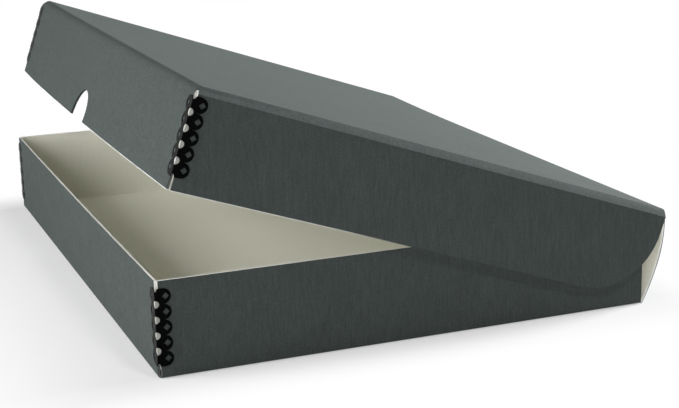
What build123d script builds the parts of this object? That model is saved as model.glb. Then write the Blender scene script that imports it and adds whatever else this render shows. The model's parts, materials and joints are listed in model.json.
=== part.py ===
from build123d import *
import os
from math import cos, radians, sin, tan

# Clamshell book box, in millimetres and degrees. One creased blank of three-ply board is folded into a
# tray, a spine and a lid, and metal stays hold the front corners. +Z is up, the front is at -Y and the
# spine at +Y. The origin is the centre of the tray's underside.

# Board: the plies, from the outside in
facing_ply = 0.3
core_ply = 1.0
liner_ply = 0.2
corner_slit = 0.2  # each wall at an open corner stops this far short of the other

# Tray, outside
tray_width = 384.0
tray_length = 289.5
tray_height = 52.5
tray_fold = 1.8  # outside radius of its folds, and how far its side walls end short of the spine

# Lid and spine
lid_side_gap = 2.5  # between the tray's side wall and the lid's
lid_front_gap = 1.4
lid_top_gap = 2.5  # between the tray's wall tops and the closed lid
lid_floor_gap = 2.5  # between the closed lid's walls and the table
lid_fold = 4.0  # outside radius of its folds
lid_wall_setback = 1.0  # rear ends of its side walls, short of the fold's corner
flap_radius = 40.0  # lower rear corner of the lid's side walls
flap_top_radius = 1.2
spine_end_gap = 0.3  # between the spine's ends and the lid's side folds beside them

# Thumb notch in the lid's front wall: an arch with short straight sides below it
notch_width = 31.8
notch_side = 2.4

# Metal corner stays
stay_sheet = 0.4
lobe_spacing = 8.35
lobe_count = 5
lobe_gap = 0.1  # between one lobe's round and the next
leg_reach = 8.75  # from the stay's corner to the tip of a lobe
band_width = 4.2  # the unbroken band beside the fold
prong_hole_side = 2.7
prong_hole_distance = 5.9  # from the stay's corner
prong_cover = 0.3  # board left over a prong's point
fold_hole_radius = 1.75
stay_edge_round = 0.3
tray_stay_start = 6.8  # from the tray's underside
lid_stay_start = 5.1  # from the lid's top

# Pose: how far the box stands open
spine_lean = 13.0  # from upright
lid_rise = 19.2  # from level

# Sizes that follow
board = facing_ply + core_ply + liner_ply
open_corner = board + corner_slit
lid_width = tray_width + 2 * (lid_side_gap + board)
lid_length = tray_length + lid_front_gap + board
spine_height = tray_height + lid_top_gap + board
lid_wall_depth = spine_height - lid_floor_gap
spine_width = lid_width - 2 * lid_fold - 2 * spine_end_gap
lobe_radius = (lobe_spacing - lobe_gap) / 2
stay_length = lobe_count * lobe_spacing
prong_reach = board - prong_cover


def tilted(angle_from_up):
    """The direction in the YZ plane that leans back from upright by this angle."""
    return Vector(0, sin(radians(angle_from_up)), cos(radians(angle_from_up)))


def panel_frame(pivot, along, inward):
    """A plane through a panel's section: x runs along the panel from its rear fold, y from its outer
    face inwards. The origin is the corner that a square fold would have."""
    origin = pivot - (along + inward) * (board / 2)
    return Plane(origin=origin, x_dir=along, z_dir=along.cross(inward))


def across(frame, distance):
    """A plane across a panel at this distance from its rear: x runs along the box's width, y inwards."""
    return Plane(origin=frame.from_local_coords((distance, 0, 0)), x_dir=-frame.z_dir, z_dir=frame.x_dir)


class FoldedPanel:
    """A panel with three walls folded up from it: its frame, its outside sizes, the radius of its folds
    and how far its side walls end short of its rear."""

    def __init__(self, frame, width, length, depth, fold, setback):
        self.frame = frame
        self.width = width
        self.length = length
        self.depth = depth
        self.fold = fold
        self.setback = setback

    def space(self, inset):
        """The solid space inside the panel and its walls, set in from the outside by inset."""
        radius = self.fold - inset
        with BuildPart() as space:
            with BuildSketch(self.frame) as side_view:
                with Locations((self.setback, inset)):
                    side_size = (self.length - self.setback - inset, self.depth - inset)
                    Rectangle(*side_size, align=(Align.MIN, Align.MIN))
                front_fold = side_view.vertices().group_by(Axis.X)[-1].sort_by(Axis.Y)[0]
                fillet(front_fold, radius=radius)
            extrude(amount=self.width / 2 - inset, both=True)
            with BuildSketch(across(self.frame, 0)) as end_view:
                with Locations((0, inset)):
                    end_size = (self.width - 2 * inset, self.depth - inset)
                    Rectangle(*end_size, align=(Align.CENTER, Align.MIN))
                fillet(end_view.vertices().group_by(Axis.Y)[0], radius=radius)
            extrude(amount=self.length, mode=Mode.INTERSECT)
        return space.part

    def ply(self, inset, thickness):
        """One ply, with open front corners, that ends where the spine's fold begins."""
        outside = self.space(inset)
        inside = self.space(inset + thickness)
        with BuildPart() as sheet:
            add(outside)
            add(inside, mode=Mode.SUBTRACT)
            with BuildSketch(across(self.frame, self.length - open_corner)):
                with GridLocations(self.width, 0, 2, 1):
                    Rectangle(2 * open_corner, self.depth, align=(Align.CENTER, Align.MIN))
            extrude(amount=open_corner, mode=Mode.SUBTRACT)
            with BuildSketch(across(self.frame, 0)):
                Rectangle(self.width - 2 * self.fold, board, align=(Align.CENTER, Align.MIN))
            extrude(amount=self.fold, mode=Mode.SUBTRACT)
        return sheet.part

    def flat_facing(self):
        """The flat middle of the panel's outer paper, between the folds."""
        with BuildPart() as sheet:
            with BuildSketch(self.frame):
                with Locations((self.fold, 0)):
                    Rectangle(self.length - 2 * self.fold, facing_ply, align=(Align.MIN, Align.MIN))
            extrude(amount=self.width / 2 - self.fold, both=True)
        return sheet.part


def lid_ply(inset, thickness):
    """One ply of the lid: its side walls have rounded rear corners and its front wall a thumb notch."""
    square_sheet = lid.ply(inset, thickness)
    with BuildPart() as sheet:
        add(square_sheet)
        with BuildSketch(lid_frame) as flap:
            with Locations((lid.setback, 0)):
                Rectangle(lid_length - lid.setback, lid_wall_depth, align=(Align.MIN, Align.MIN))
            lower_corner = flap.vertices().group_by(Axis.X)[0].sort_by(Axis.Y)[-1]
            fillet(lower_corner, radius=flap_radius)
            upper_corner = flap.vertices().group_by(Axis.Y)[0].sort_by(Axis.X)[0]
            fillet(upper_corner, radius=flap_top_radius)
        extrude(amount=lid_width / 2, both=True, mode=Mode.INTERSECT)
        with BuildSketch(across(lid_frame, lid_length)):
            with Locations((0, lid_wall_depth)):
                SlotCenterPoint((0, 0), (0, -notch_side), notch_width)
        extrude(amount=-2 * board, mode=Mode.SUBTRACT)
    return sheet.part


def spine_ply(inset, thickness):
    with BuildPart() as sheet:
        with BuildSketch(spine_frame):
            with Locations((tray_fold, inset)):
                Rectangle(spine_height - tray_fold - lid_fold, thickness, align=(Align.MIN, Align.MIN))
        extrude(amount=spine_width / 2, both=True)
    return sheet.part


def fold_ply(panel, turn, inset, thickness):
    """One ply of the spine's fold at a panel's rear, which turns by this angle."""
    outer_radius = (panel.fold - board / 2) / tan(radians(turn / 2)) + board / 2
    centre = (panel.fold, outer_radius)
    with BuildPart() as sheet:
        with BuildSketch(panel.frame):
            with BuildLine():
                outer = CenterArc(centre, outer_radius - inset, 270 - turn, turn)
                inner = CenterArc(centre, outer_radius - inset - thickness, 270 - turn, turn)
                Line(outer @ 0, inner @ 0)
                Line(outer @ 1, inner @ 1)
            make_face()
        extrude(amount=spine_width / 2, both=True)
    return sheet.part


def hole_sides(plane, holes):
    """The four sides of each square hole, as planes that face away from the hole's middle."""
    turns = [Rot(0, 0, 45 + 90 * quarter) for quarter in range(4)]
    to_side = Pos(prong_hole_side / 2, 0, 0) * Plane.YZ.location
    return [Plane(plane.location * Pos(x, y) * turn * to_side) for x, y in holes for turn in turns]


def stay_leg(plane):
    """One leg of a stay, on a plane whose y is the fold: a band with round lobes, half holes along the
    fold, and in each lobe a square hole set on its point, whose four prongs are turned into the board."""
    rows = [(i - (lobe_count - 1) / 2) * lobe_spacing for i in range(lobe_count)]
    prong_holes = [(prong_hole_distance, row) for row in rows]
    with BuildPart() as leg:
        with BuildSketch(plane):
            Rectangle(band_width, stay_length, align=(Align.MIN, Align.CENTER))
            with Locations(*[(leg_reach - lobe_radius, row) for row in rows]):
                Circle(lobe_radius)
            with Locations(*prong_holes):
                Rectangle(prong_hole_side, prong_hole_side, rotation=45, mode=Mode.SUBTRACT)
            with GridLocations(0, lobe_spacing, 1, lobe_count + 1):
                Circle(fold_hole_radius, mode=Mode.SUBTRACT)
        extrude(amount=stay_sheet)
        with BuildSketch(*hole_sides(plane, prong_holes)):
            half_side = prong_hole_side / 2
            with BuildLine():
                Polyline((-half_side, 0), (half_side, 0), (0, -prong_reach), close=True)
            make_face()
        extrude(amount=stay_sheet)
    return leg.part


def corner_stay():
    """A stay on its own: its legs lie outside the corner of the region x < 0, y > 0, centred in z."""
    front_leg = stay_leg(Plane(origin=(0, -stay_sheet, 0), x_dir=(0, 1, 0), z_dir=(1, 0, 0)))
    side_leg = stay_leg(Plane(origin=(stay_sheet, 0, 0), x_dir=(-1, 0, 0), z_dir=(0, -1, 0)))
    with BuildPart() as stay:
        add(front_leg)
        add(side_leg)
        outer_fold = stay.edges().filter_by(Axis.Z).group_by(Axis((0, 0, 0), (1, -1, 0)))[-1]
        fillet(outer_fold, radius=stay_edge_round)
    return stay.part


def placed_stay(panel, start):
    """The stay moved to a panel's front corner, on the side that its frame faces."""
    frame = panel.frame
    corner = frame.from_local_coords((panel.length, start + stay_length / 2, panel.width / 2))
    return corner_stay().moved(Plane(origin=corner, x_dir=frame.x_dir, z_dir=frame.y_dir).location)


lower_pivot = Vector(0, tray_length / 2 - board / 2, board / 2)
upper_pivot = lower_pivot + tilted(spine_lean) * (spine_height - board)
tray_frame = panel_frame(lower_pivot, Vector(0, -1, 0), Vector(0, 0, 1))
spine_frame = panel_frame(lower_pivot, tilted(spine_lean), tilted(spine_lean - 90))
lid_frame = panel_frame(upper_pivot, tilted(lid_rise - 90), tilted(lid_rise - 180))
tray = FoldedPanel(tray_frame, tray_width, tray_length, tray_height, tray_fold, tray_fold)
lid = FoldedPanel(lid_frame, lid_width, lid_length, lid_wall_depth, lid_fold, lid_wall_setback)
lower_turn = 90 - spine_lean
upper_turn = 90 - lid_rise + spine_lean

# Inset and thickness of each ply, from the outside in
plies = [(0, facing_ply), (facing_ply, core_ply), (facing_ply + core_ply, liner_ply)]

# Tray
outer_sheet, middle_sheet, inner_sheet = [tray.ply(*ply) for ply in plies]
base_sheet = tray.flat_facing()
stay = placed_stay(tray, tray_stay_start)

with BuildPart() as tray_core:
    add(middle_sheet)

with BuildPart() as tray_base_facing:
    add(base_sheet)

with BuildPart() as tray_wall_facing:
    add(outer_sheet)
    add(base_sheet, mode=Mode.SUBTRACT)

with BuildPart() as tray_liner:
    add(inner_sheet)

with BuildPart() as tray_stay_left:
    add(stay)

with BuildPart() as tray_stay_right:
    mirror(stay, about=Plane.YZ)

# Spine
outer_sheet, middle_sheet, inner_sheet = [spine_ply(*ply) for ply in plies]

with BuildPart() as spine_facing:
    add(outer_sheet)

with BuildPart() as spine_core:
    add(middle_sheet)

with BuildPart() as spine_liner:
    add(inner_sheet)

# Folds below and above the spine
outer_sheet, middle_sheet, inner_sheet = [fold_ply(tray, lower_turn, *ply) for ply in plies]

with BuildPart() as lower_fold_facing:
    add(outer_sheet)

with BuildPart() as lower_fold_core:
    add(middle_sheet)

with BuildPart() as lower_fold_liner:
    add(inner_sheet)

outer_sheet, middle_sheet, inner_sheet = [fold_ply(lid, upper_turn, *ply) for ply in plies]

with BuildPart() as upper_fold_facing:
    add(outer_sheet)

with BuildPart() as upper_fold_core:
    add(middle_sheet)

with BuildPart() as upper_fold_liner:
    add(inner_sheet)

# Lid
outer_sheet, middle_sheet, inner_sheet = [lid_ply(*ply) for ply in plies]
top_sheet = lid.flat_facing()
stay = placed_stay(lid, lid_stay_start)

with BuildPart() as lid_core:
    add(middle_sheet)

with BuildPart() as lid_top_facing:
    add(top_sheet)

with BuildPart() as lid_wall_facing:
    add(outer_sheet)
    add(top_sheet, mode=Mode.SUBTRACT)

with BuildPart() as lid_liner:
    add(inner_sheet)

with BuildPart() as lid_stay_right:
    add(stay)

with BuildPart() as lid_stay_left:
    mirror(stay, about=Plane.YZ)

pieces = {
    "tray_core": tray_core,
    "tray_base_facing": tray_base_facing,
    "tray_wall_facing": tray_wall_facing,
    "tray_liner": tray_liner,
    "tray_stay_left": tray_stay_left,
    "tray_stay_right": tray_stay_right,
    "spine_facing": spine_facing,
    "spine_core": spine_core,
    "spine_liner": spine_liner,
    "lower_fold_facing": lower_fold_facing,
    "lower_fold_core": lower_fold_core,
    "lower_fold_liner": lower_fold_liner,
    "upper_fold_facing": upper_fold_facing,
    "upper_fold_core": upper_fold_core,
    "upper_fold_liner": upper_fold_liner,
    "lid_core": lid_core,
    "lid_top_facing": lid_top_facing,
    "lid_wall_facing": lid_wall_facing,
    "lid_liner": lid_liner,
    "lid_stay_right": lid_stay_right,
    "lid_stay_left": lid_stay_left,
}

os.makedirs("parts", exist_ok=True)
for name, piece in pieces.items():
    piece.part.label = name
    export_step(piece.part, f"parts/{name}.step")
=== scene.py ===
import json
from math import atan2, cos, pi, radians, sin

import bmesh
import bpy
from mathutils import Matrix, Vector


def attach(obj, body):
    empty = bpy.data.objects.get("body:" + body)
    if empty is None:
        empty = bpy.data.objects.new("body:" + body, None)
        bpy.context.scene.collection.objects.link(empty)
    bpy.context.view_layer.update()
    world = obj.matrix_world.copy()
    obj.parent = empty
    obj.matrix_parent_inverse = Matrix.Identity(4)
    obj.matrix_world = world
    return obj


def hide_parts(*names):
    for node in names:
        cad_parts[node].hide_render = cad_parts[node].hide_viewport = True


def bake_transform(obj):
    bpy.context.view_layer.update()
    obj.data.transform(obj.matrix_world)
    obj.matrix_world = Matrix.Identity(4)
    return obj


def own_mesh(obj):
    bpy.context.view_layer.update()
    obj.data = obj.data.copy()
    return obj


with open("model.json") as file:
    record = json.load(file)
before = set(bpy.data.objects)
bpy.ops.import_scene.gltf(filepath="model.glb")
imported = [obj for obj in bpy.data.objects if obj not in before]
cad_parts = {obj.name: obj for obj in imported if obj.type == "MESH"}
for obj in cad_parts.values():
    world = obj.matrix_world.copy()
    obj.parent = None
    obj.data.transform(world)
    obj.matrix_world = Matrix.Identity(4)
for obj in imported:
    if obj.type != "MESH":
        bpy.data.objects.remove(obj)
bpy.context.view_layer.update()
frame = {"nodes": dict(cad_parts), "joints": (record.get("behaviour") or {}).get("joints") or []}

# Sizes, in metres and in the model's own frame
MM = 0.001
BOARD = 1.5 * MM
PLIES = {"facing": (0.0, 0.3 * MM), "core": (0.3 * MM, 1.3 * MM), "liner": (1.3 * MM, 1.5 * MM)}
SPINE_HEIGHT = 56.5 * MM
SPINE_WIDTH = 383.4 * MM
TRAY = {"width": 384 * MM, "length": 289.5 * MM, "depth": 52.5 * MM, "fold": 1.8 * MM}
LID = {"width": 392 * MM, "length": 292.4 * MM, "depth": 54 * MM, "fold": 4.0 * MM}

WELD = 1e-6  # vertices nearer than this are one


def tilted(degrees):
    """The direction in the YZ plane that leans back from upright by this angle."""
    return Vector((0, sin(radians(degrees)), cos(radians(degrees))))


class Panel:
    """A panel's own axes: s runs along it from its rear fold, d from its outer face inwards."""

    def __init__(self, pivot, along, inward, width=0.0, length=0.0, depth=0.0, fold=0.0):
        self.origin = pivot - (along + inward) * (BOARD / 2)
        self.along = along
        self.inward = inward
        self.width = width
        self.length = length
        self.depth = depth
        self.fold = fold

    def point(self, x, s, d):
        """The point in the frame that has these coordinates on the panel."""
        return Vector((x, 0, 0)) + self.origin + self.along * s + self.inward * d

    def local(self, co):
        """The panel's coordinates of a point in the frame."""
        offset = co - self.origin
        return co.x, offset.dot(self.along), offset.dot(self.inward)


joints = {joint["name"]: joint for joint in frame["joints"]}
lower_pivot = Vector(joints["spine_hinge"]["pos_m"])
upper_pivot = Vector(joints["lid_hinge"]["pos_m"])
spine_lean = -joints["spine_hinge"]["range_deg"][0]
lid_rise = spine_lean - joints["lid_hinge"]["range_deg"][0]
tray = Panel(lower_pivot, Vector((0, -1, 0)), Vector((0, 0, 1)), **TRAY)
spine = Panel(lower_pivot, tilted(spine_lean), tilted(spine_lean - 90))
lid = Panel(upper_pivot, tilted(lid_rise - 90), tilted(lid_rise - 180), **LID)
PANELS = {"tray": tray, "spine": spine, "lid": lid}


def steps(start, end, count):
    """Evenly spaced values from start to end, both included."""
    return [start + (end - start) * i / count for i in range(count + 1)]


# ---------------------------------------------------------------- material nodes
def new_material(name, roughness):
    """An empty node material: returns it with its nodes, its links and its surface shader."""
    material = bpy.data.materials.new(name)
    material.use_nodes = True
    nodes = material.node_tree.nodes
    links = material.node_tree.links
    shader = nodes["Principled BSDF"]
    shader.inputs["Roughness"].default_value = roughness
    return material, nodes, links, shader


def coordinates(nodes, links, panel, stretch):
    """Object coordinates turned into a panel's own axes and stretched."""
    source = nodes.new("ShaderNodeTexCoord")
    mapping = nodes.new("ShaderNodeMapping")
    mapping.inputs["Rotation"].default_value = (-atan2(panel.inward.z, panel.inward.y) + pi / 2, 0, 0)
    mapping.inputs["Scale"].default_value = stretch
    links.new(source.outputs["Object"], mapping.inputs["Vector"])
    return mapping.outputs["Vector"]


def noise(nodes, links, vector, scale, detail, roughness):
    """A noise texture's factor on these coordinates."""
    texture = nodes.new("ShaderNodeTexNoise")
    texture.inputs["Scale"].default_value = scale
    texture.inputs["Detail"].default_value = detail
    texture.inputs["Roughness"].default_value = roughness
    links.new(vector, texture.inputs["Vector"])
    return texture.outputs["Fac"]


def math_node(nodes, links, operation, *values):
    """A math node on up to three values, each an output or a number."""
    node = nodes.new("ShaderNodeMath")
    node.operation = operation
    for socket, value in zip(node.inputs, values):
        if isinstance(value, (int, float)):
            socket.default_value = value
        else:
            links.new(value, socket)
    return node.outputs["Value"]


def place_along(nodes, links, direction):
    """How far the shaded point lies along a direction, from the object's origin."""
    source = nodes.new("ShaderNodeTexCoord")
    dot = nodes.new("ShaderNodeVectorMath")
    dot.operation = "DOT_PRODUCT"
    dot.inputs[1].default_value = direction
    links.new(source.outputs["Object"], dot.inputs[0])
    return dot.outputs["Value"]


def distance_from_middle(nodes, links):
    """How far the shaded point lies to either side of the box's middle."""
    return math_node(nodes, links, "ABSOLUTE", place_along(nodes, links, (1, 0, 0)))


def between(nodes, links, value, low, high):
    """1 where a value lies between two limits, and 0 elsewhere."""
    above = math_node(nodes, links, "GREATER_THAN", value, low)
    below = math_node(nodes, links, "LESS_THAN", value, high)
    return math_node(nodes, links, "MULTIPLY", above, below)


def map_range(nodes, links, value, start, end, to_start=0.0, to_end=1.0, smooth=False):
    """Goes from to_start to to_end as a value goes from start to end."""
    node = nodes.new("ShaderNodeMapRange")
    if smooth:
        node.interpolation_type = "SMOOTHSTEP"
    node.inputs["From Min"].default_value = start
    node.inputs["From Max"].default_value = end
    node.inputs["To Min"].default_value = to_start
    node.inputs["To Max"].default_value = to_end
    links.new(value, node.inputs["Value"])
    return node.outputs["Result"]


def ramp(nodes, links, value, stops):
    """A colour ramp on a value, between two (position, colour) stops."""
    node = nodes.new("ShaderNodeValToRGB")
    for element, (position, colour) in zip(node.color_ramp.elements, stops):
        element.position = position
        element.color = (*colour, 1)
    links.new(value, node.inputs["Fac"])
    return node.outputs["Color"]


def mix_colours(nodes, links, share, colours, other):
    """Goes from the colours to another one as share goes from 0 to 1."""
    mix = nodes.new("ShaderNodeMix")
    mix.data_type = "RGBA"
    links.new(share, mix.inputs["Factor"])
    links.new(colours, mix.inputs["A"])
    mix.inputs["B"].default_value = (*other, 1)
    return mix.outputs["Result"]


def shade(colour, factor):
    """A colour made darker or lighter by a factor."""
    return tuple(channel * factor for channel in colour)


def add_relief(nodes, links, shader, height, strength, distance):
    """Bumps a shader's surface by a height."""
    relief = nodes.new("ShaderNodeBump")
    relief.inputs["Strength"].default_value = strength
    relief.inputs["Distance"].default_value = distance
    links.new(height, relief.inputs["Height"])
    links.new(relief.outputs["Normal"], shader.inputs["Normal"])


# ---------------------------------------------------------------- paper and board
GREY = (0.0690, 0.0820, 0.0785)
CREAM = (0.88, 0.875, 0.785)
WHITE_BOARD = (0.9, 0.9, 0.87)
# Painted shade: the cut edge of the core round the thumb notch is darkened to this, as if in shadow
NOTCH_SHADE_COLOUR = shade(GREY, 0.6)
# Painted shade: the cut ends of the core in the front corners are darkened to this, as if in shadow
CORNER_SHADE_COLOUR = (0.17, 0.175, 0.165)

# Noises of the paper: scale, detail and roughness
GRAIN = (900, 3, 0.6)
FIBRES = (1400, 4, 0.7)
BLOTCHES = (55, 3, 0.55)

# Stretch of a noise along x, y and z of a panel's own axes: less than 1 draws it out
UNSTRETCHED = (1, 1, 1)
STREAK_STRETCH = (1, 1, 0.12)
GRAIN_STRETCH = (0.3, 1, 1)

WEAVE_SHARE = 0.25
BLOTCH_SHARE = 0.07
COLOUR_STOPS = (0.21, 0.61)  # where the mixed noise gives the darkest and the lightest colour
PAPER_SPECULAR = 0.08
PAPER_RELIEF = 0.12 * MM
PAPER_UNEVENNESS = (0.1, 0.15)  # share of the weave in the roughness, and what is taken off for it

WORN_RAGGED = 0.25 * MM  # how ragged the worn edge is
WORN_DEPTH = (0.3 * MM, 0.1 * MM)  # from the free edge to where the white begins and is full
WORN_REACH = (0.135, 0.09)  # from the lid's front to where the white begins and is full
# Where the painted shadow on the notch's cut edge lies
NOTCH_SHADE_REACH = (17.2 * MM, 0.25 * MM, 34 * MM)  # half width, and from the free edge to its start and end
CORNER_BAND = 2.5 * MM  # the cut ends with painted shade lie this near to the front
CORNER_START = 0.17  # and farther than this from the middle
# Depths from the outer face between which the cut ends are painted darker, as shade
CORNER_SHADE_DEPTHS = {"tray": (-1 * MM, 8 * MM), "spine": None, "lid": (30 * MM, lid.depth - 0.4 * MM)}


def worn_edge(nodes, links, panel, colours, fibres):
    """Shows the white core along the free edge of a panel's walls, towards its front."""
    edge = panel.origin.dot(panel.inward) + panel.depth
    front = panel.origin.dot(panel.along) + panel.length
    ragged = math_node(nodes, links, "MULTIPLY", fibres, WORN_RAGGED)
    depth = math_node(nodes, links, "ADD", place_along(nodes, links, panel.inward), ragged)
    at_edge = map_range(nodes, links, depth, edge - WORN_DEPTH[0], edge - WORN_DEPTH[1])
    along = place_along(nodes, links, panel.along)
    near_front = map_range(nodes, links, along, front - WORN_REACH[0], front - WORN_REACH[1])
    share = math_node(nodes, links, "MULTIPLY", at_edge, near_front)
    return mix_colours(nodes, links, share, colours, WHITE_BOARD)


def paint_notch_shade(nodes, links, panel, colours):
    """Paints a shadow on the cut edge of the core round the thumb notch."""
    half_width, start, end = NOTCH_SHADE_REACH
    edge = panel.origin.dot(panel.inward) + panel.depth
    inside = math_node(nodes, links, "LESS_THAN", distance_from_middle(nodes, links), half_width)
    depth = place_along(nodes, links, panel.inward)
    beside = between(nodes, links, depth, edge - end, edge - start)
    share = math_node(nodes, links, "MULTIPLY", inside, beside)
    return mix_colours(nodes, links, share, colours, NOTCH_SHADE_COLOUR)


def paint_corner_shade(nodes, links, panel, colours, start, end):
    """Paints shade on the cut ends of the core at the front corners, between two depths from the panel."""
    outer = panel.origin.dot(panel.inward)
    front = panel.origin.dot(panel.along) + panel.length
    at_side = math_node(nodes, links, "GREATER_THAN", distance_from_middle(nodes, links), CORNER_START)
    along = place_along(nodes, links, panel.along)
    at_front = math_node(nodes, links, "GREATER_THAN", along, front - CORNER_BAND)
    depth = place_along(nodes, links, panel.inward)
    share = math_node(nodes, links, "MULTIPLY", at_side, at_front)
    in_band = between(nodes, links, depth, outer + start, outer + end)
    share = math_node(nodes, links, "MULTIPLY", share, in_band)
    return mix_colours(nodes, links, share, colours, CORNER_SHADE_COLOUR)


def paper(name, panel, colour, contrast, bump, roughness, worn=False, notch_shade=False, corner_shade=None):
    """Laid paper: fine streaks down the walls, fainter ones along the panel, soft blotches and fibres."""
    material, nodes, links, shader = new_material(name, roughness)
    flat = coordinates(nodes, links, panel, UNSTRETCHED)
    streaks = noise(nodes, links, coordinates(nodes, links, panel, STREAK_STRETCH), *GRAIN)
    grain = noise(nodes, links, coordinates(nodes, links, panel, GRAIN_STRETCH), *GRAIN)
    fibres = noise(nodes, links, flat, *FIBRES)
    blotches = noise(nodes, links, flat, *BLOTCHES)
    weave = math_node(nodes, links, "ADD", streaks, grain)
    weave = math_node(nodes, links, "ADD", weave, fibres)
    mixed = math_node(nodes, links, "MULTIPLY", weave, WEAVE_SHARE)
    mixed = math_node(nodes, links, "MULTIPLY_ADD", blotches, BLOTCH_SHARE, mixed)
    low, high = shade(colour, 1 - contrast), shade(colour, 1 + contrast)
    colours = ramp(nodes, links, mixed, list(zip(COLOUR_STOPS, (low, high))))
    if notch_shade:
        colours = paint_notch_shade(nodes, links, panel, colours)
    if corner_shade:
        colours = paint_corner_shade(nodes, links, panel, colours, *corner_shade)
    if worn:
        colours = worn_edge(nodes, links, panel, colours, fibres)
    links.new(colours, shader.inputs["Base Color"])
    shader.inputs["Specular IOR Level"].default_value = PAPER_SPECULAR
    add_relief(nodes, links, shader, weave, bump, PAPER_RELIEF)
    share, taken_off = PAPER_UNEVENNESS
    spread = math_node(nodes, links, "MULTIPLY_ADD", weave, share, roughness - taken_off)
    links.new(spread, shader.inputs["Roughness"])
    return material


GREY_PAPER = {"colour": GREY, "contrast": 0.5, "bump": 0.5, "roughness": 0.9}
CREAM_PAPER = {"colour": CREAM, "contrast": 0.06, "bump": 0.2, "roughness": 0.8}
CORE_BOARD = {"colour": WHITE_BOARD, "contrast": 0.06, "bump": 0.4, "roughness": 0.9}
CRUSHED_BOARD = {"contrast": 0.12, "bump": 0.6, "roughness": 0.9}
# The board ends in the fold holes: greyer than the board on the right; the left ones are darker still,
# painted shade on the box's far side
BOARD_END_LIT_AND_SHADED = {"left": (0.2, 0.205, 0.2), "right": (0.5, 0.505, 0.475)}

grey = {body: paper(f"grey_paper_{body}", panel, **GREY_PAPER) for body, panel in PANELS.items()}
wall_grey = {"tray": grey["tray"], "lid": paper("grey_paper_lid_edged", lid, worn=True, **GREY_PAPER)}
cream = {body: paper(f"cream_paper_{body}", panel, **CREAM_PAPER) for body, panel in PANELS.items()}
core = {body: paper(f"core_board_{body}", panel, notch_shade=panel is lid, corner_shade=CORNER_SHADE_DEPTHS[body], **CORE_BOARD)
        for body, panel in PANELS.items()}
# The board ends' materials; the left copy is darker, painted shade
crushed = {hand: paper(f"board_end_lit_and_shaded_{hand}", tray, colour, **CRUSHED_BOARD)
           for hand, colour in BOARD_END_LIT_AND_SHADED.items()}
FINISHES = {"facing": ("grey_paper", grey), "core": ("core_board", core), "liner": ("cream_paper", cream)}


# ---------------------------------------------------------------- enamel
ENAMEL_SPECULAR = 0.015  # low, so that the white world doesn't turn the black grey
ENAMEL_TINT = (0.82, 0.95, 0.92, 1)
ENAMEL_SPECKS = (1500, 3, 0.6)  # scale, detail and roughness
ENAMEL_STOPS = [(0.35, (0.0015, 0.0015, 0.0016)), (0.75, (0.004, 0.004, 0.0044))]
ENAMEL_RELIEF = (0.15, 0.05 * MM)  # strength and distance
ENAMEL_ROUGHNESS = (0.2, 0.2)  # share of the specks in it, and its lowest value


def enamel():
    """Black enamel that reflects little and is faintly uneven."""
    material, nodes, links, shader = new_material("black_enamel", 0.28)
    shader.inputs["Specular IOR Level"].default_value = ENAMEL_SPECULAR
    shader.inputs["Specular Tint"].default_value = ENAMEL_TINT
    specks = noise(nodes, links, coordinates(nodes, links, tray, UNSTRETCHED), *ENAMEL_SPECKS)
    links.new(ramp(nodes, links, specks, ENAMEL_STOPS), shader.inputs["Base Color"])
    add_relief(nodes, links, shader, specks, *ENAMEL_RELIEF)
    spread = math_node(nodes, links, "MULTIPLY_ADD", specks, *ENAMEL_ROUGHNESS)
    links.new(spread, shader.inputs["Roughness"])
    return material


black = enamel()


# ---------------------------------------------------------------- new pieces
SHARP_ANGLE = 32  # degrees between two faces, above which their edge stays sharp


def new_piece(name, bm):
    """An object with the mesh that bm holds."""
    mesh = bpy.data.meshes.new(name)
    bmesh.ops.recalc_face_normals(bm, faces=bm.faces)
    bm.to_mesh(mesh)
    bm.free()
    piece = bpy.data.objects.new(name, mesh)
    bpy.context.scene.collection.objects.link(piece)
    return piece


def finish_piece(piece, material, slot):
    """Gives a new piece its material, with its sharp edges kept; the slot is not used."""
    mesh = piece.data
    mesh.materials.clear()
    mesh.materials.append(material)
    for polygon in mesh.polygons:
        polygon.use_smooth = True
    mesh.set_sharp_from_angle(angle=radians(SHARP_ANGLE))


def cut_at(bm, point, normal, inside):
    """Cuts a mesh by a plane, only through the faces whose middle inside() accepts."""
    faces = [face for face in bm.faces if inside(face.calc_center_median())]
    edges = {edge for face in faces for edge in face.edges}
    verts = {vert for face in faces for vert in face.verts}
    bmesh.ops.bisect_plane(bm, geom=[*faces, *edges, *verts], plane_co=point, plane_no=normal, dist=WELD)


# ---------------------------------------------------------------- folded boards
FLAT_ANGLE = 0.05  # degrees between two faces, below which they become one before the cuts
FRONT_MARGIN = 1 * MM  # faces this much behind the front fold are cut with the front wall
SIDE_FACET = 0.88  # share by which the lid's side folds are flattened into a chamfer
FRONT_FACET = 0.3
ON_FLOOR = 0.02 * MM  # a point less than this above the floor inside belongs to the floor
BEAD_HEIGHT = 3.6 * MM
BEAD_WIDTH = 1.6 * MM
BEAD_POWER = 1.3
BEAD_CUTS = [0.5 * MM, 1.2 * MM, 1.9 * MM, 2.6 * MM, 3.2 * MM, 3.6 * MM]  # from the foot of a wall
BEAD_SIZE = {"tray": 1, "lid": 0.45}  # the lid's bead is lower, clear of the tray when closed
BEAD_REACH = 5 * MM  # the beads lie this near to the walls
FRONT_BOW = {"tray": 0.8 * MM, "lid": 3.8 * MM}  # how far each front wall bows outwards at its free edge
BOW_POWER = 1.25
LID_LIFT = 1.3 * MM
LIFT_REACH = 130 * MM  # from the lid's left side to where the lift is gone
LIFT_FADE = 0.35  # share of the lift that is gone at the lid's front
BOW_COLUMNS = 46
BOW_ROWS = 9
LIFT_COLUMNS = 7
LIFT_ROWS = 4


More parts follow.
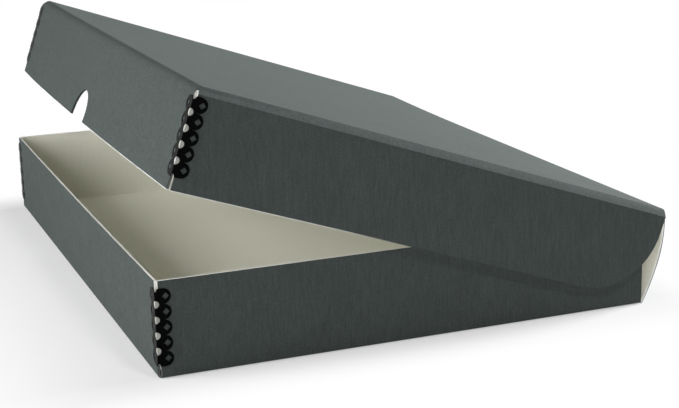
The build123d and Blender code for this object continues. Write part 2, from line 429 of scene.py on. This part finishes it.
def facet(a, b, radius, share):
    """Flattens a fold's arc towards its chord. a and b are distances from the two outer faces."""
    if a >= radius or b >= radius:
        return a, b
    u, v = radius - a, radius - b
    angle = atan2(v, u) - pi / 4
    factor = 1 - share * (1 - cos(pi / 4) / cos(angle))
    return radius - u * factor, radius - v * factor


def bead(wall, rise):
    """How far the rolled bead at the foot of a wall stands out, at this height above the floor inside."""
    if rise > BEAD_HEIGHT:
        return 0.0
    if rise < ON_FLOOR:
        return max(0.0, BEAD_WIDTH * (1 - max(0.0, wall) / (2 * BEAD_WIDTH)))
    return BEAD_WIDTH * (1 - (rise / BEAD_HEIGHT) ** BEAD_POWER)


def lid_lift(x, s):
    """How far the lid stands proud of its plane towards its left side."""
    near = max(0.0, 1 - (x + LID["width"] / 2) / LIFT_REACH)
    return LID_LIFT * near * near * (1 - LIFT_FADE * s / LID["length"])


def warp(body, ply):
    """The way the real folded board departs from the square solid, as a function of a point."""
    panel = PANELS[body]

    def moved(co):
        x, s, d = panel.local(co)
        side = 1 if x > 0 else -1
        from_side = panel.width / 2 - abs(x)
        from_front = panel.length - s
        new_side, new_d = facet(from_side, d, panel.fold, SIDE_FACET if panel is lid else 0)
        new_front, new_d = facet(from_front, new_d, panel.fold, FRONT_FACET if panel is lid else 0)
        if ply == "liner" and from_side < BEAD_REACH:
            new_side += bead(from_side - BOARD, d - BOARD) * BEAD_SIZE[body]
        if ply == "liner" and from_front < BEAD_REACH:
            new_front += bead(from_front - BOARD, d - BOARD) * BEAD_SIZE[body]
        if from_front < panel.fold and d > panel.fold:
            rise = (d - panel.fold) / (panel.depth - panel.fold)
            new_front -= FRONT_BOW[body] * (1 - (2 * x / panel.width) ** 2) * rise ** BOW_POWER
        if panel is lid:
            new_d -= lid_lift(x, s)
        return panel.point(side * (panel.width / 2 - new_side), panel.length - new_front, new_d)

    return moved


def folded_board(node, body, ply):
    """A ply of the tray or lid: the CAD solid's faces, cut finer and warped as the real board is."""
    panel = PANELS[body]
    half = panel.width / 2
    bm = bmesh.new()
    bm.from_mesh(frame["nodes"][node].data)
    bmesh.ops.remove_doubles(bm, verts=bm.verts, dist=WELD)
    bmesh.ops.dissolve_limit(bm, angle_limit=radians(FLAT_ANGLE), verts=bm.verts, edges=bm.edges)

    def near_front(co):
        return panel.local(co)[1] > panel.length - panel.fold - FRONT_MARGIN

    def anywhere(co):
        return True

    for x in steps(-half + panel.fold, half - panel.fold, BOW_COLUMNS):
        cut_at(bm, (x, 0, 0), (1, 0, 0), near_front)
    for d in steps(panel.fold, panel.depth, BOW_ROWS)[:-1]:
        cut_at(bm, panel.point(0, 0, d), panel.inward, near_front)
    if ply == "liner":
        for extra in BEAD_CUTS:
            for side in (-1, 1):
                cut_at(bm, (side * (half - BOARD - extra), 0, 0), (1, 0, 0), anywhere)
            cut_at(bm, panel.point(0, panel.length - BOARD - extra, 0), panel.along, anywhere)
            cut_at(bm, panel.point(0, 0, BOARD + extra), panel.inward, anywhere)
    if panel is lid:
        for share in steps(0, 1, LIFT_COLUMNS):
            cut_at(bm, (-half + panel.fold + LIFT_REACH * share, 0, 0), (1, 0, 0), anywhere)
        for s in steps(0, panel.length, LIFT_ROWS)[1:-1]:
            cut_at(bm, panel.point(0, s, 0), panel.along, anywhere)
    moved = warp(body, ply)
    for vert in bm.verts:
        vert.co = moved(vert.co)
    piece = new_piece(f"{node}_board", bm)
    slot, materials = FINISHES[ply]
    finish_piece(piece, wall_grey[body] if ply == "facing" else materials[body], slot)
    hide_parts(node)
    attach(piece, body)


for body in ("tray", "lid"):
    folded_board(f"{body}_core", body, "core")
    folded_board(f"{body}_wall_facing", body, "facing")
    folded_board(f"{body}_liner", body, "liner")
folded_board("lid_top_facing", "lid", "facing")

base = frame["nodes"]["tray_base_facing"]
base.data.materials.clear()
base.data.materials.append(grey["tray"])


# ---------------------------------------------------------------- spine and its two folds
SPINE_BOW = 3.7 * MM
BOW_MIDDLE = 31 * MM
BOW_BELOW = (28 * MM, 1.6)  # reach and power of the bow's curve below its middle
BOW_ABOVE = (25.5 * MM, 2.0)
SPINE_START = TRAY["fold"]
SPINE_END = SPINE_HEIGHT - LID["fold"]
SPINE_ROWS = 24
FOLD_ROWS = 12
SPINE_COLUMNS = 24
CREASE_TIGHTNESS = 0.88
EDGE_SWELL = 0.2 * MM  # how much thicker the spine's facing looks at its ends, where it curls
RAISED_FROM = 20 * MM  # the spine follows the lid's lift above this height


def spine_bow(s):
    """How far the spine bows outwards at this height, and its slope there."""
    reach, power = BOW_ABOVE if s > BOW_MIDDLE else BOW_BELOW
    u = (s - BOW_MIDDLE) / reach
    slope = -SPINE_BOW * power * abs(u) ** (power - 1) / reach * (1 if u > 0 else -1)
    return SPINE_BOW * (1 - abs(u) ** power), slope


def spine_surface(depth, count):
    """Points up the spine at this depth from its outer face."""
    rows = steps(SPINE_START, SPINE_END, count)
    return [spine.point(0, s, depth - spine_bow(s)[0]) for s in rows]


def fold_surface(start, start_way, end, end_way, count):
    """A smooth crease from one board's end to the next one's, tighter than a round arc."""
    normal = start_way.cross(end_way).x
    gap = end - start
    reach_start = gap.cross(end_way).x / normal
    reach_end = start_way.cross(gap).x / normal
    first = start + start_way * (reach_start * CREASE_TIGHTNESS)
    second = end - end_way * (reach_end * CREASE_TIGHTNESS)
    points = []
    for t in steps(0, 1, count):
        u = 1 - t
        points.append(start * u ** 3 + first * (3 * u * u * t) + second * (3 * u * t * t) + end * t ** 3)
    return points


def lower_fold_surface(depth, count):
    """The crease between the base and the spine, at this depth from the outer face."""
    bow, slope = spine_bow(SPINE_START)
    start = tray.point(0, tray.fold, depth)
    end = spine.point(0, SPINE_START, depth - bow)
    return fold_surface(start, -tray.along, end, (spine.along - spine.inward * slope).normalized(), count)


def upper_fold_surface(depth, count):
    """The crease between the spine and the lid, at this depth from the outer face."""
    bow, slope = spine_bow(SPINE_END)
    start = spine.point(0, SPINE_END, depth - bow)
    end = lid.point(0, lid.fold, depth)
    return fold_surface(start, (spine.along - spine.inward * slope).normalized(), end, lid.along, count)


def raised(co):
    """The spine's and its folds' share of the lid's lift towards its left side."""
    share = (spine.local(co)[1] - RAISED_FROM) / (SPINE_HEIGHT - RAISED_FROM)
    share = min(1.0, max(0.0, share))
    return co - lid.inward * (lid_lift(co.x, 0) * share * share * (3 - 2 * share))


def strip(name, surface, ply, count, swell=0.0):
    """A ply swept across the width, between its outer and inner surfaces."""
    outer_depth, inner_depth = PLIES[ply]
    outer = [point - spine.inward * (swell * sin(pi * i / count) ** 0.5)
             for i, point in enumerate(surface(outer_depth, count))]
    section = outer + surface(inner_depth, count)[::-1]
    size = len(section)
    bm = bmesh.new()
    rings = []
    for x in steps(-SPINE_WIDTH / 2, SPINE_WIDTH / 2, SPINE_COLUMNS):
        rings.append([bm.verts.new(raised(Vector((x, 0, 0)) + point)) for point in section])
    for left, right in zip(rings, rings[1:]):
        for i in range(size):
            j = (i + 1) % size
            bm.faces.new((left[i], left[j], right[j], right[i]))
    for ring in (rings[0], rings[-1]):
        for i in range(count):
            bm.faces.new((ring[i], ring[i + 1], ring[size - 2 - i], ring[size - 1 - i]))
    return new_piece(name, bm)


for ply in PLIES:
    slot, materials = FINISHES[ply]
    swell = EDGE_SWELL if ply == "facing" else 0.0
    panel_piece = strip(f"spine_{ply}_board", spine_surface, ply, SPINE_ROWS, swell)
    finish_piece(panel_piece, materials["spine"], slot)
    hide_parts(f"spine_{ply}")
    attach(panel_piece, "spine")
    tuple(spine.inward)
    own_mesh(panel_piece)

    fold_piece = strip(f"lower_fold_{ply}_board", lower_fold_surface, ply, FOLD_ROWS)
    finish_piece(fold_piece, materials["spine"], slot)
    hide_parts(f"lower_fold_{ply}")
    start = tray.point(0, tray.fold, BOARD / 2)
    end = spine.point(0, SPINE_START, BOARD / 2)
    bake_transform(fold_piece)

    fold_piece = strip(f"upper_fold_{ply}_board", upper_fold_surface, ply, FOLD_ROWS)
    finish_piece(fold_piece, materials["spine"], slot)
    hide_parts(f"upper_fold_{ply}")
    start = spine.point(0, SPINE_END, BOARD / 2)
    end = lid.point(0, lid.fold, BOARD / 2)
    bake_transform(fold_piece)


# ---------------------------------------------------------------- corner stays
SHEET = 0.4 * MM
STAY_START = {"tray": 6.8 * MM, "lid": 5.1 * MM}
LOBE_SPACING = 8.35 * MM
# The holes along a stay's fold lie between its five lobes
HOLE_LEVELS = {body: [start + LOBE_SPACING * i for i in (1, 2, 3, 4)] for body, start in STAY_START.items()}
HOLE_REACH = 1.95 * MM  # a hole's edge lies within this distance of its middle
HOLE_GROWTH = (1.35, 1.2)  # how much wider and taller the holes along the fold look, worn by folding
STAY_EDGE = 0.14 * MM
END_REACH = (2.15 * MM, 2.0 * MM)  # half width and half height of the board end in a hole
END_SKINS = ((0.12 * MM, 0.16 * MM), (-0.5 * MM, 0.0))  # how far each skin stands out, and its dome
END_RIPPLES = ((0.04, 3, 1), (0.03, 7, 2))  # size, waves in a turn and shift from one end to the next
DOME_RIPPLES = (0.4, 5)  # size and waves in a turn
END_RINGS = 5
END_TURNS = 24


def corner_stay(node, body):
    """A stay: the CAD solid with its fold holes worn wider and its edges rounded."""
    panel = PANELS[body]
    bm = bmesh.new()
    bm.from_mesh(frame["nodes"][node].data)
    bmesh.ops.remove_doubles(bm, verts=bm.verts, dist=WELD)
    for vert in bm.verts:
        x, s, d = panel.local(vert.co)
        side = 1 if x > 0 else -1
        along_side = panel.length + SHEET - s
        along_front = panel.width / 2 + SHEET - abs(x)
        level = min(HOLE_LEVELS[body], key=lambda hole: abs(hole - d))
        reach = max(along_side, along_front)
        if (reach * reach + (d - level) ** 2) ** 0.5 < HOLE_REACH:
            d = level + (d - level) * HOLE_GROWTH[1]
            if reach > SHEET and along_side > along_front:
                along_side *= HOLE_GROWTH[0]
            elif reach > SHEET:
                along_front *= HOLE_GROWTH[0]
        if panel is lid:
            d -= lid_lift(x, s)
        new_x = side * (panel.width / 2 + SHEET - along_front)
        vert.co = panel.point(new_x, panel.length + SHEET - along_side, d)
    piece = new_piece(f"{node}_metal", bm)
    finish_piece(piece, black, "black_metal")
    rounding = piece.modifiers.new("edges", "BEVEL")
    rounding.width = STAY_EDGE
    rounding.segments = 2
    rounding.limit_method = "ANGLE"
    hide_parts(node)
    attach(piece, body)


def join(bm, first, second):
    """Faces between two rings of vertices."""
    for k, vert in enumerate(first):
        after = (k + 1) % len(first)
        bm.faces.new((vert, second[k], second[after], first[after]))


def board_end(bm, panel, side, number, level):
    """One crushed board end: an outer skin with a low dome, an inner one, and the rim between them."""

    def corner_point(run, rise, out):
        """A point this far round the corner, this far up and this far out from the fold."""
        on_side, on_front = max(run, 0), max(-run, 0)
        x = side * (panel.width / 2 + out - on_front)
        return panel.point(x, panel.length + out - on_side, level + rise)

    rims = []
    for stand, dome in END_SKINS:
        rings = []
        for share in steps(0, 1, END_RINGS)[1:]:
            ring = []
            for turn in steps(0, 2 * pi, END_TURNS)[:-1]:
                ripples = [size * sin(waves * turn + shift * number) for size, waves, shift in END_RIPPLES]
                rough = sum(ripples, 1)
                run = END_REACH[0] * share * cos(turn) * rough
                rise = END_REACH[1] * share * sin(turn) * rough
                uneven = 1 + DOME_RIPPLES[0] * sin(DOME_RIPPLES[1] * turn + number)
                out = stand + dome * (1 - share * share) * uneven
                ring.append(bm.verts.new(corner_point(run, rise, out)))
            rings.append(ring)
        centre = bm.verts.new(corner_point(0, 0, stand + dome))
        for k in range(END_TURNS):
            bm.faces.new((centre, rings[0][k], rings[0][(k + 1) % END_TURNS]))
        for inner, outer in zip(rings, rings[1:]):
            join(bm, inner, outer)
        rims.append(rings[-1])
    join(bm, *rims)


def board_ends(name, body, hand):
    """The crushed white ends of the board that show in the holes along a stay's fold."""
    panel = PANELS[body]
    side = {"left": -1, "right": 1}[hand]
    lift = lid_lift(side * panel.width / 2, panel.length) if panel is lid else 0
    bm = bmesh.new()
    for number, level in enumerate(HOLE_LEVELS[body]):
        board_end(bm, panel, side, number, level - lift)
    piece = new_piece(name, bm)
    finish_piece(piece, crushed[hand], "core_board")
    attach(piece, body)


for body in ("tray", "lid"):
    for hand in ("left", "right"):
        corner_stay(f"{body}_stay_{hand}", body)
        board_ends(f"{body}_board_ends_{hand}", body, hand)


# ---------------------------------------------------------------- camera
AZIMUTH = 1.1962273813  # radians from the box's front towards its right side
ELEVATION = 0.2577532686
ROLL = -0.0202047129
FOCAL = 79.234  # millimetres, as the sensor's width is
SENSOR = 36
CAMERA_PLACE = (0.8940412, -0.3195924, 0.2801052)

back = Vector((sin(AZIMUTH) * cos(ELEVATION), -cos(AZIMUTH) * cos(ELEVATION), sin(ELEVATION)))
right = Vector((0, 0, 1)).cross(back).normalized()
up = back.cross(right)
turned_right = right * cos(ROLL) + up * sin(ROLL)
turned_up = up * cos(ROLL) - right * sin(ROLL)
lens = bpy.data.cameras.new("camera")
lens.lens = FOCAL
lens.sensor_width = SENSOR
lens.sensor_fit = "HORIZONTAL"
lens.clip_start = 0.01
camera = bpy.data.objects.new("camera", lens)
camera.matrix_world = Matrix((turned_right, turned_up, back)).transposed().to_4x4()
camera.location = CAMERA_PLACE
bpy.context.scene.collection.objects.link(camera)
bpy.context.scene.camera = camera


# ---------------------------------------------------------------- floor and background
FLOOR_COLOUR = (0.85, 0.85, 0.85, 1)
FLOOR_EDGE = {"side": 0.192, "front": 0.146, "rear": 0.15}  # from the origin to where the glow grows
FLOOR_REACH = {"side": 0.045, "front": 0.12, "rear": 0.04}  # from there to where it is full
FLOOR_GLOW = (0.4, 1.0)  # share of the glow up to the edge, and where it is full
FLOOR_SIZE = 12
FLOOR_DROP = 0.2 * MM  # how far the floor lies below the box, clear of its underside


def seen_rays(nodes, links):
    """1 for a ray that shows the background: from the camera, or seen in gloss or through glass."""
    path = nodes.new("ShaderNodeLightPath")
    total = math_node(nodes, links, "MAXIMUM", path.outputs["Is Camera Ray"], path.outputs["Is Glossy Ray"])
    return math_node(nodes, links, "MAXIMUM", total, path.outputs["Is Transmission Ray"])


def floor_material():
    """A pale floor that keeps the shadow: it shines white to the camera away from the box."""
    material, nodes, links, shader = new_material("floor", 0.9)
    shader.inputs["Base Color"].default_value = FLOOR_COLOUR
    shader.inputs["Specular IOR Level"].default_value = 0.0
    glow = nodes.new("ShaderNodeEmission")
    glow.inputs["Color"].default_value = (1, 1, 1, 1)
    glow.inputs["Strength"].default_value = 1.0
    places = {"side": distance_from_middle(nodes, links),
              "front": place_along(nodes, links, (0, -1, 0)),
              "rear": place_along(nodes, links, (0, 1, 0))}
    reach = 0.0
    for name, place in places.items():
        beyond = math_node(nodes, links, "SUBTRACT", place, FLOOR_EDGE[name])
        beyond = math_node(nodes, links, "DIVIDE", beyond, FLOOR_REACH[name])
        reach = math_node(nodes, links, "MAXIMUM", beyond, reach)
    spread = map_range(nodes, links, reach, 0.0, 1.0, *FLOOR_GLOW, smooth=True)
    mix = nodes.new("ShaderNodeMixShader")
    links.new(math_node(nodes, links, "MULTIPLY", seen_rays(nodes, links), spread), mix.inputs["Fac"])
    links.new(shader.outputs["BSDF"], mix.inputs[1])
    links.new(glow.outputs["Emission"], mix.inputs[2])
    links.new(mix.outputs["Shader"], nodes["Material Output"].inputs["Surface"])
    return material


bpy.ops.mesh.primitive_plane_add(size=FLOOR_SIZE, location=(0, 0, -FLOOR_DROP))
floor = bpy.context.object
floor.name = "floor"
floor.data.materials.append(floor_material())

# The world is white where it is seen, and gives the box no light: the lamps do
world = bpy.data.worlds.new("studio")
bpy.context.scene.world = world
world.use_nodes = True
world_nodes = world.node_tree.nodes
world_links = world.node_tree.links
unlit = world_nodes["Background"]
unlit.inputs["Strength"].default_value = 0.0
white = world_nodes.new("ShaderNodeBackground")
white.inputs["Color"].default_value = (1, 1, 1, 1)
white.inputs["Strength"].default_value = 1.0
choose = world_nodes.new("ShaderNodeMixShader")
world_links.new(seen_rays(world_nodes, world_links), choose.inputs["Fac"])
world_links.new(unlit.outputs["Background"], choose.inputs[1])
world_links.new(white.outputs["Background"], choose.inputs[2])
world_links.new(choose.outputs["Shader"], world_nodes["World Output"].inputs["Surface"])


# ---------------------------------------------------------------- lamps
def area_light(name, position, target, size, power):
    """A square soft light that faces a point."""
    light = bpy.data.lights.new(name, "AREA")
    light.shape = "SQUARE"
    light.size = size
    light.energy = power
    lamp = bpy.data.objects.new(name, light)
    lamp.location = position
    lamp.rotation_euler = (Vector(target) - Vector(position)).to_track_quat("-Z", "Y").to_euler()
    bpy.context.scene.collection.objects.link(lamp)


MIDDLE = (0, 0, 0.05)  # of the box, about
area_light("front_high", position=(-0.5, -1.6, 1.7), target=MIDDLE, size=1.2, power=3)
area_light("front_low", position=(0.12, -0.95, 0.42), target=(0, 0, 0.03), size=0.6, power=9.4)
area_light("front_right", position=(1.5, -1.5, 0.5), target=MIDDLE, size=0.8, power=4)
area_light("right_high", position=(1.3, 0.3, 2.0), target=MIDDLE, size=0.3, power=11)
area_light("rear", position=(-0.05, 2.35, 0.49), target=MIDDLE, size=0.8, power=165)

bpy.context.scene.view_settings.view_transform = "Standard"
